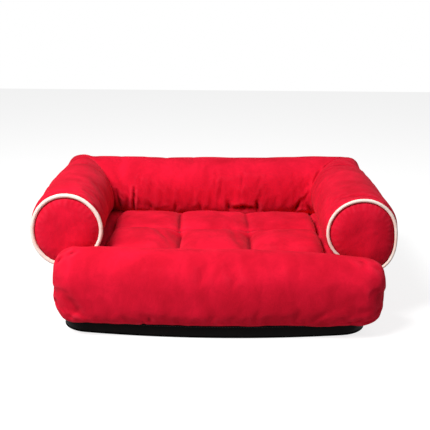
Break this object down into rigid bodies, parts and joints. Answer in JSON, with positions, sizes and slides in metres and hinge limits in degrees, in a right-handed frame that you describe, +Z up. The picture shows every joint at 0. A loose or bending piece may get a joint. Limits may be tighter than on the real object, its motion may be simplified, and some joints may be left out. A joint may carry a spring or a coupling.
{
  "type": "dog sofa bed",
  "caption": "Sofa-shaped bed for a small dog: stuffed arms and back, low front bolster, tufted loose seat cushion and a waterproof base.",
  "frame": {"origin": "on the floor, under the middle of the bed's box", "axes": "+X to the right seen from the front, +Y to the back, +Z up"},
  "size_m": [0.6, 0.4739, 0.216],
  "materials": {
    "suede": "short-napped suede-like polyester plush, red",
    "lining": "plain woven polyester lining, dark red",
    "piping": "cream woven cloth over a cotton cord",
    "waterproof_oxford": "black coated oxford cloth, slight sheen",
    "fibre": "white hollow polyester fibre",
    "foam": "soft open-cell foam",
    "thread": "red polyester thread",
    "zip_tape": "dark red woven polyester tape",
    "zip_coil": "dark red nylon coil",
    "zip_metal": "red enamelled zinc"
  },
  "bodies": {
    "shell": {"base_bottom_cloth": "waterproof_oxford", "base_side_band": "waterproof_oxford", "base_foam_pad": "foam", "deck_cloth": "waterproof_oxford", "left_side_wall_cover": "suede", "right_side_wall_cover": "suede", "left_side_wall_foam": "foam", "right_side_wall_foam": "foam", "back_wall_cover": "suede", "back_wall_foam": "foam", "left_arm_cover": "suede", "right_arm_cover": "suede", "left_arm_filling": "fibre", "right_arm_filling": "fibre", "left_arm_front_cap": "suede", "right_arm_front_cap": "suede", "left_arm_front_piping": "piping", "right_arm_front_piping": "piping", "back_roll_cover": "suede", "back_roll_filling": "fibre", "front_bolster_cover": "suede", "front_bolster_filling": "fibre", "rear_zip_tapes": "zip_tape", "rear_zip_coil_rows": "zip_coil", "rear_zip_end_stops": "zip_metal"},
    "cushion": {"cushion_top_cover": "suede", "cushion_bottom_cover": "lining", "cushion_filling": "fibre", "cushion_tuft_ties": "thread", "cushion_zip_tapes": "zip_tape", "cushion_zip_coil_rows": "zip_coil", "cushion_zip_end_stops": "zip_metal"},
    "cushion_zip_slider": {"cushion_zip_slider": "zip_metal"},
    "rear_zip_slider": {"rear_zip_slider": "zip_metal"},
    "rear_zip_pull_tab": {"rear_zip_pull_tab": "zip_metal"}
  },
  "joints": [
    {"name": "cushion_lift", "type": "slide", "parent": "shell", "child": "cushion", "axis": [0, 0, 1], "range_m": [0, 0.3]},
    {"name": "cushion_zip_open", "type": "slide", "parent": "cushion", "child": "cushion_zip_slider", "axis": [-1, 0, 0], "range_m": [0, 0.234]},
    {"name": "rear_zip_open", "type": "slide", "parent": "shell", "child": "rear_zip_slider", "axis": [-1, 0, 0], "range_m": [0, 0.255]},
    {"name": "rear_zip_pull_swing", "type": "hinge", "parent": "rear_zip_slider", "child": "rear_zip_pull_tab", "pos_m": [0.1277, 0.1956, 0.0553], "axis": [0, 0, 1], "range_deg": [0, 180]}
  ]
}
